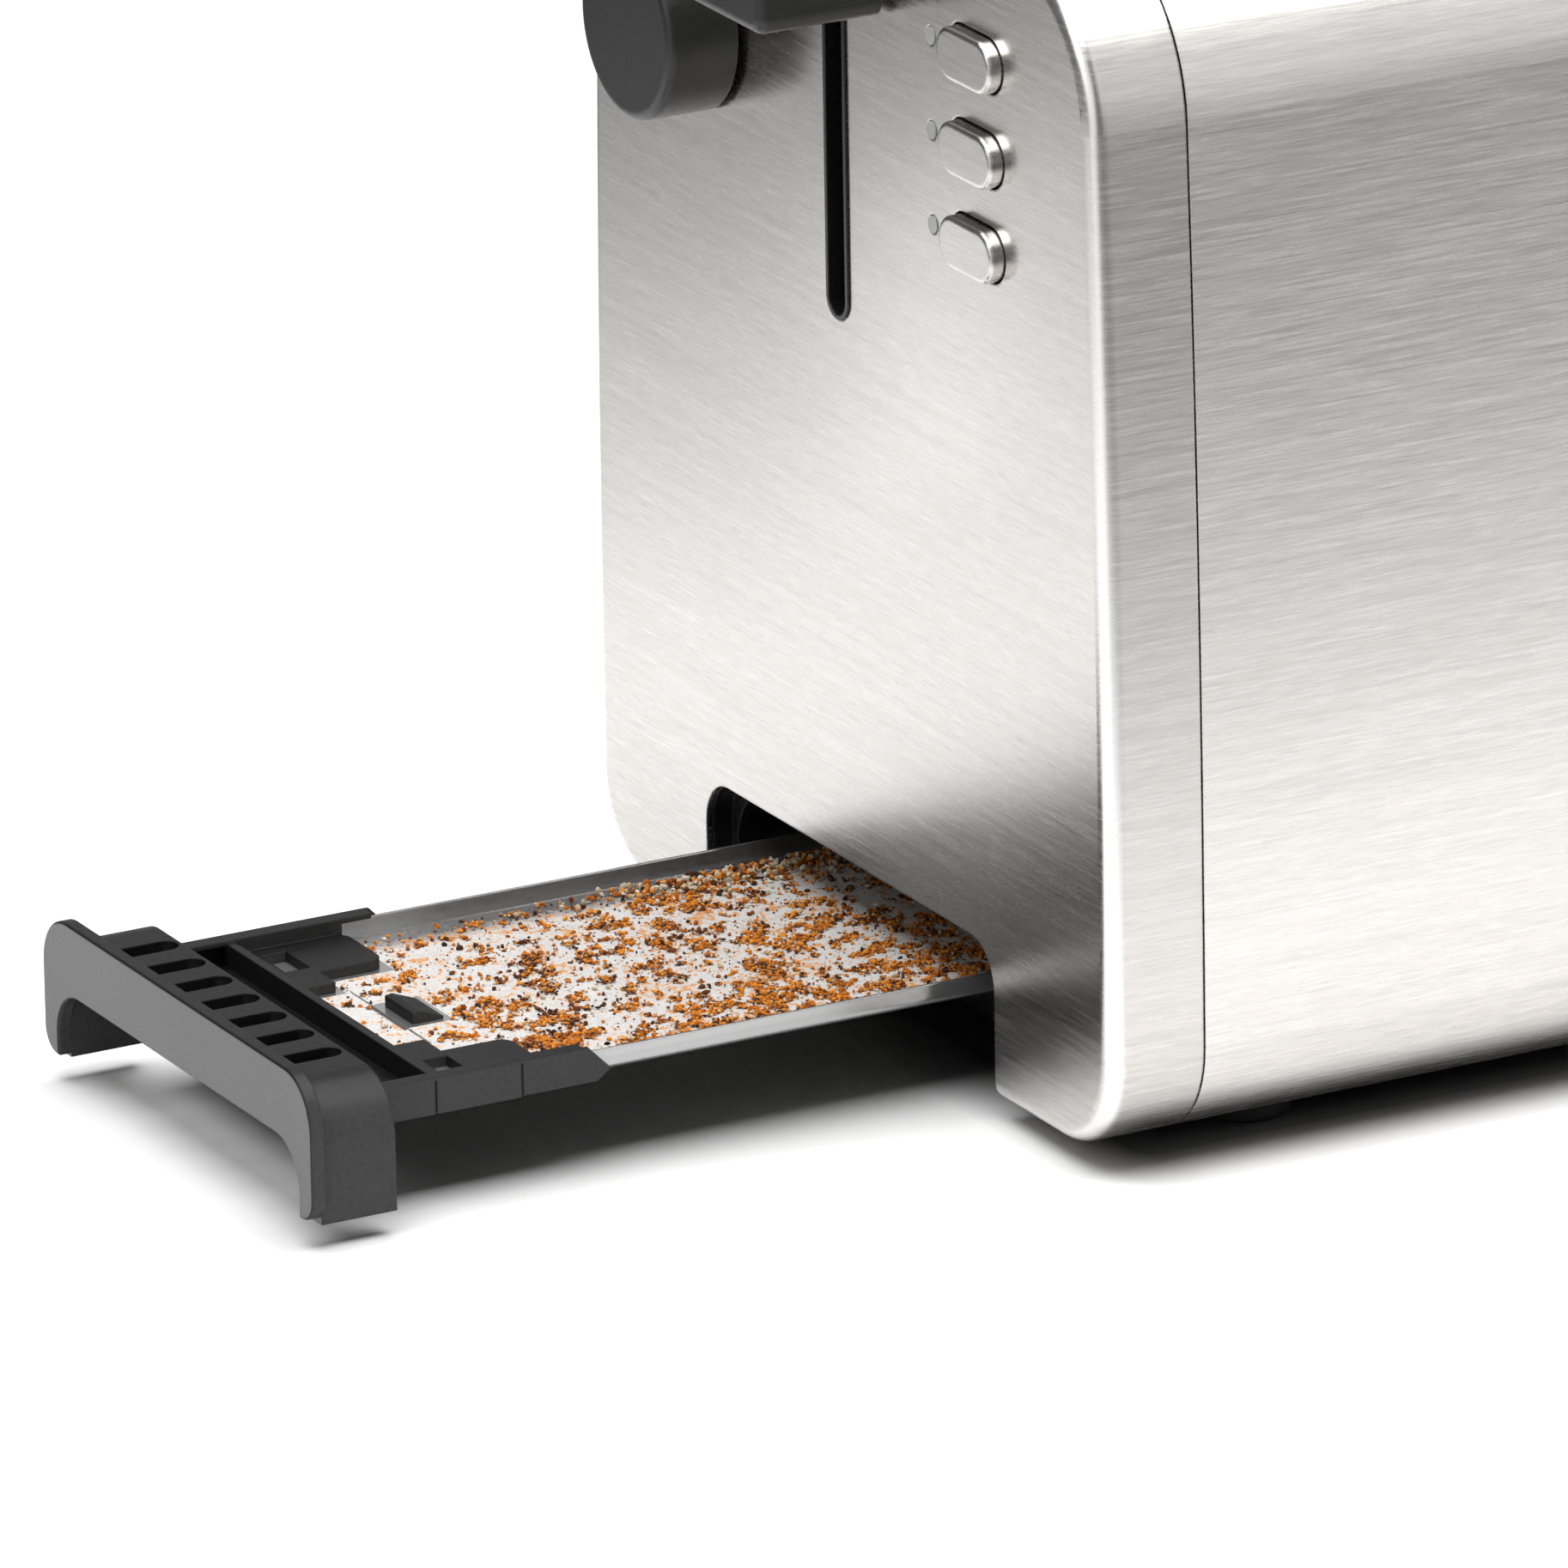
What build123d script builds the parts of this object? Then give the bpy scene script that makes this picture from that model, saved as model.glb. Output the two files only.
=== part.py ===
from build123d import *
import os
from math import sqrt, atan2, cos, sin, pi

os.makedirs("parts", exist_ok=True)

# ---------------------------------------------------------------- dimensions (mm)
# Frame: origin on the table under the middle of the casing, X along the toaster,
# -X is the end with the lever and the crumb tray, Z up.
HALF_L = 160.0          # casing, half length
HALF_W = 89.5           # casing, half width low on the side
Z_BOT = 3.5             # lowest line of the steel casing
Z_TOP = 205.0           # top of the casing
R_BOT = 18.0            # lower corner of the cross-section
R_TOP = 28.0            # upper corner of the cross-section
R_SIDE = 2900.0         # the sides lean in along a very large arc
Z_VERT = 39.0           # height where the side is exactly vertical
CAP_DEPTH = 17.4        # end caps, front to back
CAP_T = 1.0             # end cap sheet
CAP_EDGE = 3.2          # radius from end face to side
WRAP_T = 0.8            # side and top sheet
SEAM = 0.4              # open seam between cap and wrap

TRAY_OUT = 125.4        # how far the tray stands open at rest
X_HANDLE = -HALF_L - TRAY_OUT      # front face of the tray handle
X_HREAR = X_HANDLE + 16.1          # back of the handle
OPEN_HW, OPEN_TOP, OPEN_R = 50.4, 30.25, 8.0    # tray opening in the front cap

SLOT_Z0, SLOT_Z1, SLOT_HW = 124.7, 192.0, 3.8   # lever slot in the front cap
LEVER_Z = 187.0         # lever arm height at rest
LEVER_TRAVEL = 57.0
BREAD_Y = 24.0          # bread slot centre line
BREAD_HW = 16.0         # half width of a bread slot
BREAD_X0, BREAD_X1 = -64.0, 92.0

X_FRONT, X_REAR = -78.0, 104.0     # chassis plates at the two ends of the oven
DIAL_Y, DIAL_Z = 48.0, 165.0
BUTTON_Y = -48.0
BUTTON_Z = (150.0, 166.0, 182.0)


def body_outline(t):
    """Closed cross-section of the casing, moved inward by t."""
    yc1, zc1, r1 = HALF_W - R_BOT, Z_BOT + R_BOT, R_BOT - t
    ys, zs, rs = HALF_W - R_SIDE, Z_VERT, R_SIDE - t
    zc2, r2 = Z_TOP - R_TOP, R_TOP - t
    yc2 = ys + sqrt((R_SIDE - R_TOP) ** 2 - (zc2 - zs) ** 2)
    th = atan2(zc2 - zs, yc2 - ys)
    k = sqrt(0.5)
    tm = (th + pi / 2) / 2
    for s in (1, -1):
        a, b = (s * yc1, Z_BOT + t), (s * (yc1 + r1), zc1)
        c = (s * (yc1 + r1), Z_VERT)
        d = (s * (yc2 + r2 * cos(th)), zc2 + r2 * sin(th))
        e = (s * yc2, Z_TOP - t)
        ThreePointArc(a, (s * (yc1 + r1 * k), zc1 - r1 * k), b)
        Line(b, c)
        ThreePointArc(c, (s * (ys + rs * cos(th / 2)), zs + rs * sin(th / 2)), d)
        ThreePointArc(d, (s * (yc2 + r2 * cos(tm)), zc2 + r2 * sin(tm)), e)
    Line((-yc2, Z_TOP - t), (yc2, Z_TOP - t))
    Line((-yc1, Z_BOT + t), (yc1, Z_BOT + t))


def arch_outline(hw, z0, z1, r):
    """Upright rectangle with two rounded top corners."""
    k = r * (1 - sqrt(0.5))
    Line((-hw, z0), (-hw, z1 - r))
    ThreePointArc((-hw, z1 - r), (-hw + k, z1 - k), (-hw + r, z1))
    Line((-hw + r, z1), (hw - r, z1))
    ThreePointArc((hw - r, z1), (hw - k, z1 - k), (hw, z1 - r))
    Line((hw, z1 - r), (hw, z0))
    Line((hw, z0), (-hw, z0))


def block(x0, x1, y0, y1, z0, z1, mode=Mode.ADD):
    """Rectangular block between six planes."""
    with Locations((x0, y0, z0)):
        Box(x1 - x0, y1 - y0, z1 - z0, align=(Align.MIN, Align.MIN, Align.MIN), mode=mode)


def out(builder, name, colour=None):
    builder.part.label = name
    export_step(builder.part, "parts/" + name + ".step")


# ================================================================ casing
# ---- front end cap: a deep-drawn steel lid with the lever slot, the control
# holes and the tray opening
with BuildPart() as front_core:
    with BuildSketch(Plane.YZ.offset(-HALF_L + CAP_T)):
        with BuildLine():
            body_outline(CAP_T)
        make_face()
    extrude(amount=CAP_DEPTH + 4)
    fillet(front_core.faces().sort_by(Axis.X)[0].edges(), CAP_EDGE - CAP_T)

with BuildPart() as front_end_cap:
    with BuildSketch(Plane.YZ.offset(-HALF_L)):
        with BuildLine():
            body_outline(0)
        make_face()
    extrude(amount=CAP_DEPTH)
    fillet(front_end_cap.faces().sort_by(Axis.X)[0].edges(), CAP_EDGE)
    add(front_core.part, mode=Mode.SUBTRACT)
    with BuildSketch(Plane.YZ.offset(-HALF_L - 5)):
        with BuildLine():
            arch_outline(OPEN_HW, -5, OPEN_TOP, OPEN_R)
        make_face()
        with Locations((0, (SLOT_Z0 + SLOT_Z1) / 2)):
            SlotOverall(SLOT_Z1 - SLOT_Z0, 2 * SLOT_HW, rotation=90)
        for z in BUTTON_Z:
            with Locations((BUTTON_Y, z)):
                SlotOverall(18.8, 9.8)
            with Locations((BUTTON_Y + 15, z)):
                Circle(1.65)
        with Locations((DIAL_Y, DIAL_Z)):
            Circle(4.0)
    extrude(amount=30, mode=Mode.SUBTRACT)
out(front_end_cap, "front_end_cap")

# ---- rear end cap, with the hole of the mains inlet gland
GLAND_Y, GLAND_Z = -45.0, 24.0
with BuildPart() as rear_core:
    with BuildSketch(Plane.YZ.offset(HALF_L - CAP_T)):
        with BuildLine():
            body_outline(CAP_T)
        make_face()
    extrude(amount=-(CAP_DEPTH + 4))
    fillet(rear_core.faces().sort_by(Axis.X)[-1].edges(), CAP_EDGE - CAP_T)

with BuildPart() as rear_end_cap:
    with BuildSketch(Plane.YZ.offset(HALF_L)):
        with BuildLine():
            body_outline(0)
        make_face()
    extrude(amount=-CAP_DEPTH)
    fillet(rear_end_cap.faces().sort_by(Axis.X)[-1].edges(), CAP_EDGE)
    add(rear_core.part, mode=Mode.SUBTRACT)
    with BuildSketch(Plane.YZ.offset(HALF_L - 4)):
        with Locations((GLAND_Y, GLAND_Z)):
            Circle(8.0)
    extrude(amount=10, mode=Mode.SUBTRACT)
out(rear_end_cap, "rear_end_cap")

# ---- wrap: one sheet round both sides and the top, turned in under the base
X_WRAP = HALF_L - CAP_DEPTH - SEAM
with BuildPart() as body_wrap:
    with BuildSketch(Plane.YZ.offset(-X_WRAP)):
        with BuildLine():
            body_outline(0)
        make_face()
        with BuildLine():
            body_outline(WRAP_T)
        make_face(mode=Mode.SUBTRACT)
    extrude(amount=2 * X_WRAP)
    block(-200, 200, -75, 75, -5, 12, Mode.SUBTRACT)
    with BuildSketch(Plane.XY.offset(Z_TOP - 10)):
        with Locations((14, 0)):
            RectangleRounded(172, 96, 6)
    extrude(amount=20, mode=Mode.SUBTRACT)
out(body_wrap, "body_wrap")

# ---- plastic rings behind the seams that carry the caps on the wrap
with BuildPart() as front_cap_frame:
    with BuildSketch(Plane.YZ.offset(-152)):
        with BuildLine():
            body_outline(1.1)
        make_face()
        with BuildLine():
            body_outline(3.2)
        make_face(mode=Mode.SUBTRACT)
    extrude(amount=18)
    block(-153, -133, -54, 54, -5, 40, Mode.SUBTRACT)
    block(-142.1, -133, -76, 76, -5, 9, Mode.SUBTRACT)
out(front_cap_frame, "front_cap_frame")

with BuildPart() as rear_cap_frame:
    with BuildSketch(Plane.YZ.offset(134)):
        with BuildLine():
            body_outline(1.1)
        make_face()
        with BuildLine():
            body_outline(3.2)
        make_face(mode=Mode.SUBTRACT)
    extrude(amount=18)
    block(133, 142.1, -76, 76, -5, 9, Mode.SUBTRACT)
out(rear_cap_frame, "rear_cap_frame")

# ---- base plate with posts for the oven, vents and counterbored screw holes
POSTS = [(-70, -52), (-70, 52), (97, -52), (97, 52)]
with BuildPart() as base_plate:
    with BuildSketch(Plane.XY.offset(4.0)):
        Rectangle(282, 149)
    extrude(amount=2.5)
    with BuildSketch(Plane.XY.offset(6.5)):
        with Locations(*POSTS):
            Circle(5)
    extrude(amount=19.5)
    with BuildSketch(Plane.XY.offset(3.0)):
        with Locations(*POSTS):
            Circle(1.65)
    extrude(amount=30, mode=Mode.SUBTRACT)
    with BuildSketch(Plane.XY.offset(3.0)):
        with Locations(*POSTS):
            Circle(3.4)
    extrude(amount=3.2, mode=Mode.SUBTRACT)
    with BuildSketch(Plane.XY.offset(3.0)):
        for x in range(-45, 80, 15):
            with Locations((x, -22), (x, 22)):
                SlotOverall(26, 5, rotation=90)
    extrude(amount=5, mode=Mode.SUBTRACT)
out(base_plate, "base_plate")

with BuildPart() as base_screws:
    with BuildSketch(Plane.XY.offset(4.2)):
        with Locations(*POSTS):
            Circle(3.0)
    extrude(amount=1.8)
    with BuildSketch(Plane.XY.offset(6.0)):
        with Locations(*POSTS):
            Circle(1.5)
    extrude(amount=22.4)
out(base_screws, "base_screws")

with BuildPart() as rubber_feet:
    with BuildSketch(Plane.XY):
        with GridLocations(244, 132, 2, 2):
            Circle(8)
    extrude(amount=3.95)
    chamfer(rubber_feet.faces().group_by(Axis.Z)[0].edges(), 0.8)
out(rubber_feet, "rubber_feet")

# ---- bezel behind the tray opening: a plastic tunnel mouth with a shoulder
with BuildPart() as tray_bezel:
    with BuildSketch(Plane.YZ.offset(-158.8)):
        with BuildLine():
            arch_outline(53.2, 4.6, 33, 10.8)
        make_face()
    extrude(amount=17.3)
    with BuildSketch(Plane.YZ.offset(-159)):
        with BuildLine():
            arch_outline(50.2, 0, 30.05, 7.8)
        make_face()
    extrude(amount=4.0, mode=Mode.SUBTRACT)
    with BuildSketch(Plane.YZ.offset(-156)):
        with BuildLine():
            arch_outline(48.4, 0, 28.0, 9.4)
        make_face()
    extrude(amount=13.0, mode=Mode.SUBTRACT)
    with BuildSketch(Plane.YZ.offset(-144)):
        with Locations((0, 19.2)):
            RectangleRounded(84, 15.6, 2)
    extrude(amount=5, mode=Mode.SUBTRACT)
    for s in (-1, 1):
        block(-160, -154.9, min(s * 50.3, s * 54), max(s * 50.3, s * 54), 4, 8.8, Mode.SUBTRACT)
out(tray_bezel, "tray_bezel")

# ---- liner of the lever slot
SL_MID, SL_LEN = (SLOT_Z0 + SLOT_Z1) / 2, SLOT_Z1 - SLOT_Z0
with BuildPart() as lever_slot_liner:
    with BuildSketch(Plane.YZ.offset(-160.4)):
        with Locations((0, SL_MID)):
            SlotOverall(SL_LEN - 0.2, 2 * SLOT_HW - 0.2, rotation=90)
    extrude(amount=10.4)
    with BuildSketch(Plane.YZ.offset(-158.9)):
        with Locations((0, SL_MID)):
            SlotOverall(SL_LEN + 6, 2 * SLOT_HW + 6, rotation=90)
    extrude(amount=1.6)
    with BuildSketch(Plane.YZ.offset(-161)):
        with Locations((0, SL_MID)):
            SlotOverall(SL_LEN - 1.8, 2 * SLOT_HW - 1.8, rotation=90)
    extrude(amount=12, mode=Mode.SUBTRACT)
out(lever_slot_liner, "lever_slot_liner")

# ---- bread slot frame: heat-proof insert let into the top of the wrap
with BuildPart() as bread_slot_frame:
    with BuildSketch(Plane.XY.offset(Z_TOP + 0.05)):
        with Locations((14, 0)):
            RectangleRounded(182, 104, 9)
    extrude(amount=1.6)
    fillet(bread_slot_frame.faces().sort_by(Axis.Z)[-1].edges(), 1.0)
    with BuildSketch(Plane.XY.offset(Z_TOP + 0.05)):
        for s in (-1, 1):
            with Locations((14, s * BREAD_Y)):
                RectangleRounded(160.4, 36.4, 6)
    extrude(amount=-11, both=False)
    with BuildSketch(Plane.XY.offset(Z_TOP - 15)):
        for s in (-1, 1):
            with Locations((14, s * BREAD_Y)):
                RectangleRounded(BREAD_X1 - BREAD_X0, 2 * BREAD_HW, 4)
    extrude(amount=20, mode=Mode.SUBTRACT)
out(bread_slot_frame, "bread_slot_frame")

# ================================================================ oven
GUARD_Z = (62.0, 122.0, 180.0)      # heights of the long guard wires


def guard_windows():
    """Slots in an end plate for the ends of the guard wires."""
    for z in GUARD_Z:
        for s in (-1, 1):
            with Locations((s * 13.2, z), (s * 34.8, z)):
                Rectangle(8.8, 4.0)


with BuildPart() as front_frame:
    block(X_FRONT, X_FRONT + 1, -60, 60, 26, 198)
    for s in (-1, 1):
        block(X_FRONT, X_FRONT + 16, min(s * 45, s * 60), max(s * 45, s * 60), 26.05, 27.05)
    with BuildSketch(Plane.YZ.offset(X_FRONT - 1)):
        for s in (-1, 1):
            with Locations((s * BREAD_Y, 76)):
                Rectangle(7, 76)
        guard_windows()
    extrude(amount=3, mode=Mode.SUBTRACT)
    with BuildSketch(Plane.XY.offset(20)):
        with Locations((-70, -52), (-70, 52)):
            Circle(1.55)
    extrude(amount=10, mode=Mode.SUBTRACT)
out(front_frame, "front_frame")

with BuildPart() as rear_frame:
    block(X_REAR, X_REAR + 1, -60, 60, 26, 198)
    for s in (-1, 1):
        block(X_REAR - 14, X_REAR + 1, min(s * 45, s * 60), max(s * 45, s * 60), 26.05, 27.05)
    with BuildSketch(Plane.YZ.offset(X_REAR - 1)):
        guard_windows()
    extrude(amount=3, mode=Mode.SUBTRACT)
    with BuildSketch(Plane.XY.offset(20)):
        with Locations((97, -52), (97, 52)):
            Circle(1.55)
    extrude(amount=10, mode=Mode.SUBTRACT)
out(rear_frame, "rear_frame")

for side, s in (("left", 1), ("right", -1)):
    with BuildPart() as reflector:
        block(X_FRONT + 1.1, X_REAR - 0.1, min(s * 49, s * 49.6), max(s * 49, s * 49.6), 30, 194)
        block(X_FRONT + 1.1, X_REAR - 0.1, min(s * 49, s * 54), max(s * 49, s * 54), 193.4, 194)
    out(reflector, side + "_reflector")

for name, y in (("left", 44.4), ("centre", 0.0), ("right", -44.4)):
    with BuildPart() as heater_board:
        block(-72, 98, y - 0.4, y + 0.4, 46, 188)
        with BuildSketch(Plane.XZ.offset(-y - 1)):
            with Locations((-68, 60), (-68, 174), (94, 60), (94, 174)):
                Circle(1.6)
        extrude(amount=2, mode=Mode.SUBTRACT)
    out(heater_board, name + "_heater_board")

# nichrome ribbon wound on the boards: straight runs across each face
with BuildPart() as heater_ribbons:
    for y in (43.85, -43.85, 0.55, -0.55):
        for k in range(15):
            z = 54 + 9 * k
            block(-70, 96, y - 0.1, y + 0.1, z, z + 1.4)
out(heater_ribbons, "heater_ribbons")

# ---- brackets, guide rods, return spring and holding magnet of the lever
with BuildPart() as top_bracket:
    block(-122, X_FRONT - 0.05, -34, 34, 197, 198.5)
    block(X_FRONT - 1.2, X_FRONT - 0.05, -34, 34, 190, 197)
    with BuildSketch(Plane.XY.offset(190)):
        with Locations((-108, -22), (-108, 22)):
            Circle(2.5)
    extrude(amount=12, mode=Mode.SUBTRACT)
out(top_bracket, "top_bracket")

with BuildPart() as lower_bracket:
    block(-122, X_FRONT - 0.05, -34, 34, 27, 28.5)
    block(X_FRONT - 1.2, X_FRONT - 0.05, -34, 34, 28.5, 38)
    with BuildSketch(Plane.XY.offset(20)):
        with Locations((-108, -22), (-108, 22)):
            Circle(2.5)
    extrude(amount=12, mode=Mode.SUBTRACT)
out(lower_bracket, "lower_bracket")

with BuildPart() as guide_rods:
    with BuildSketch(Plane.XY.offset(27)):
        with Locations((-108, -22), (-108, 22)):
            Circle(2.5)
    extrude(amount=171.5)
out(guide_rods, "guide_rods")

SPRING_Z0, SPRING_Z1 = 171.6, 197.0
with BuildPart() as return_spring:
    with BuildSketch(Plane.XZ.offset(-11)):
        with BuildLine():
            n, r_out, r_wire = 12, 3.6, 0.55
            pitch = (SPRING_Z1 - SPRING_Z0) / n
            Line((-108, SPRING_Z0), (-108 + r_out - r_wire, SPRING_Z0))
            for k in range(n):
                z0 = SPRING_Z0 + k * pitch
                ThreePointArc((-108 + r_out - r_wire, z0), (-108 + r_out, z0 + pitch / 2),
                              (-108 + r_out - r_wire, z0 + pitch))
            Line((-108 + r_out - r_wire, SPRING_Z1), (-108, SPRING_Z1))
            Line((-108, SPRING_Z1), (-108, SPRING_Z0))
        make_face()
    revolve(axis=Axis((-108, 11, 0), (0, 0, 1)))
out(return_spring, "return_spring")

with BuildPart() as magnet_core:
    block(-118, -104, -9, -5.5, 28.55, 42.6)
    block(-118, -104, 5.5, 9, 28.55, 42.6)
    block(-118, -104, -5.5, 5.5, 28.55, 31)
    block(-115, -107, -2.2, 2.2, 31, 42.6)
out(magnet_core, "magnet_core")

with BuildPart() as magnet_coil:
    with BuildSketch(Plane.XY.offset(31.5)):
        with Locations((-111, 0)):
            RectangleRounded(13, 9.6, 2)
            Rectangle(8.2, 4.6, mode=Mode.SUBTRACT)
    extrude(amount=9.5)
out(magnet_coil, "magnet_coil")

# ---- control board with its cut-out for the lever arm, and what is soldered on
with BuildPart() as control_board:
    block(-138.6, -137, -74, 70, 96, 194)
    block(-140, -136, -9, 9, 118, 195, Mode.SUBTRACT)
out(control_board, "control_board")

with BuildPart() as tactile_switches:
    for z in BUTTON_Z:
        block(-141.2, -138.65, BUTTON_Y - 3, BUTTON_Y + 3, z - 3, z + 3)
out(tactile_switches, "tactile_switches")

with BuildPart() as dial_sensor:
    with BuildSketch(Plane.YZ.offset(-150)):
        with Locations((DIAL_Y, DIAL_Z)):
            Circle(9)
            Circle(3.06, mode=Mode.SUBTRACT)
    extrude(amount=10)
    with BuildSketch(Plane.YZ.offset(-140)):
        with Locations((DIAL_Y, DIAL_Z)):
            Circle(9)
    extrude(amount=1.35)
out(dial_sensor, "dial_sensor")

with BuildPart() as relay_and_capacitor:
    block(-136.95, -124, -70, -52, 104, 122)
    with BuildSketch(Plane.YZ.offset(-136.95)):
        with Locations((-40, 112)):
            Circle(5)
    extrude(amount=12)
    block(-136.95, -126, 40, 64, 104, 120)
out(relay_and_capacitor, "board_components")

with BuildPart() as button_carrier:
    with BuildSketch(Plane.YZ.offset(-150)):
        with Locations((BUTTON_Y + 4, 166)):
            Rectangle(40, 56)
        for z in BUTTON_Z:
            with Locations((BUTTON_Y, z)):
                Rectangle(7.2, 7.2, mode=Mode.SUBTRACT)
            with Locations((BUTTON_Y + 15, z)):
                Circle(1.6, mode=Mode.SUBTRACT)
    extrude(amount=1.6)
    for y, z in ((-62, 141), (-62, 191), (-28, 141), (-28, 191)):
        block(-148.4, -138.65, y - 1.5, y + 1.5, z - 1.5, z + 1.5)
out(button_carrier, "button_carrier")

with BuildPart() as indicator_lenses:
    with BuildSketch(Plane.YZ.offset(-160.2)):
        for z in BUTTON_Z:
            with Locations((BUTTON_Y + 15, z)):
                Circle(1.5)
    extrude(amount=21.5)
out(indicator_lenses, "indicator_lenses")

# ---- mains switch the carriage closes, terminal block and inlet gland
with BuildPart() as main_switch:
    block(-97, -80, -56, -40, 40, 62)
    block(-95, -92, -53, -43, 62, 70)
    block(-88, -85, -53, -43, 62, 67)
out(main_switch, "main_switch")

with BuildPart() as terminal_block:
    block(112, 130, -60, -30, 6.55, 20)
    with BuildSketch(Plane.XY.offset(20)):
        with Locations((121, -54), (121, -45), (121, -36)):
            Circle(2.2)
    extrude(amount=-6, mode=Mode.SUBTRACT)
out(terminal_block, "terminal_block")

with BuildPart() as cord_gland:
    with BuildSketch(Plane.YZ.offset(146)):
        with Locations((GLAND_Y, GLAND_Z)):
            Circle(7.9)
    extrude(amount=14.1)
    with BuildSketch(Plane.YZ.offset(160.1)):
        with Locations((GLAND_Y, GLAND_Z)):
            Circle(11)
    extrude(amount=3)
    fillet(cord_gland.faces().sort_by(Axis.X)[-1].edges(), 1.0)
    with BuildSketch(Plane.YZ.offset(150)):
        with Locations((GLAND_Y, GLAND_Z)):
            Circle(10)
    extrude(amount=3)
    with BuildSketch(Plane.YZ.offset(140)):
        with Locations((GLAND_Y, GLAND_Z)):
            Circle(3.6)
    extrude(amount=30, mode=Mode.SUBTRACT)
out(cord_gland, "cord_gland")

# ---- rails the tray slides on: a ledge, a wall and an anti-tip lip each side
for side, s in (("left", 1), ("right", -1)):
    with BuildPart() as rail:
        for x0, x1, y0, y1, z0, z1 in (
                (-141, 100, 40.4, 42.4, 6.55, 24.6),
                (-141, -99, 35.0, 40.4, 13.4, 15.8),
                (-99, 100, 35.0, 40.4, 13.4, 17.0),
                (-141, -99, 37.6, 40.4, 22.9, 24.6),
                (-99, 100, 37.6, 40.4, 21.8, 24.6)):
            block(x0, x1, min(s * y0, s * y1), max(s * y0, s * y1), z0, z1)
    out(rail, side + "_tray_rail")

# ================================================================ crumb tray
PAN_X0, PAN_X1 = -255.8, -29.5
PAN_HW, PAN_Z0, PAN_Z1, PAN_T = 38.9, 17.4, 21.3, 0.6
with BuildPart() as tray_pan:
    with BuildSketch(Plane.XY.offset(PAN_Z0)):
        with Locations(((PAN_X0 + PAN_X1) / 2, 0)):
            Rectangle(PAN_X1 - PAN_X0, 2 * PAN_HW)
    extrude(amount=PAN_Z1 - PAN_Z0)
    fillet(tray_pan.faces().group_by(Axis.Z)[0].edges(), 1.6)
    with BuildSketch(Plane.XY.offset(PAN_Z0 + PAN_T)):
        with Locations(((PAN_X0 + PAN_X1) / 2, 0)):
            Rectangle(PAN_X1 - PAN_X0 - 2 * PAN_T, 2 * (PAN_HW - PAN_T))
    extrude(amount=10, mode=Mode.SUBTRACT)
    with BuildSketch(Plane.XY.offset(PAN_Z0 + PAN_T)):
        with Locations(((-246 - 184.4) / 2, 0)):
            RectangleRounded(246 - 184.4, 37, 5)
    extrude(amount=0.35)
    # the front wall is cut away where the two tongues of the frame come through
    for s in (-1, 1):
        block(PAN_X0 - 1, PAN_X0 + 0.7, min(s * 15.8, s * 37.2), max(s * 15.8, s * 37.2),
              PAN_Z0 + PAN_T, 22, Mode.SUBTRACT)
out(tray_pan, "tray_pan")

with BuildPart() as tray_handle:
    # front plate with its finger arch
    with BuildSketch(Plane.YZ.offset(X_HANDLE)):
        with BuildLine():
            arch_outline(49.4, 5.0, 29.5, 9.0)
        make_face()
        with BuildLine():
            arch_outline(44.4, 0, 17.06, 8.0)
        make_face(mode=Mode.SUBTRACT)
        fillet(vertices().group_by(Axis.Y)[0].sort_by(Axis.X)[0], 4.2)
        fillet(vertices().group_by(Axis.Y)[0].sort_by(Axis.X)[-1], 4.2)
    extrude(amount=2.4)
    fillet(tray_handle.faces().sort_by(Axis.X)[0].outer_wire().edges(), 0.5)
    # body behind the plate: ledge, two legs and a back wall
    with BuildSketch(Plane.YZ.offset(X_HANDLE + 2.4)):
        with BuildLine():
            arch_outline(47.8, 4.3, 26.5, 10.0)
        make_face()
        with BuildLine():
            arch_outline(44.4, 0, 23.5, 7.0)
        make_face(mode=Mode.SUBTRACT)
    extrude(amount=13.7)
    with BuildSketch(Plane.YZ.offset(X_HREAR - 2.0)):
        with BuildLine():
            arch_outline(46.5, 12.0, 25.5, 9.0)
        make_face()
    extrude(amount=2.0)
    with BuildSketch(Plane.XY.offset(20)):
        for k in range(-3, 4):
            with Locations((-276.5, k * 9.93)):
                Rectangle(8.4, 4.7)
            with Locations((-272.3, k * 9.93)):
                Circle(2.35)
    extrude(amount=12, mode=Mode.SUBTRACT)
out(tray_handle, "tray_handle")

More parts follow.
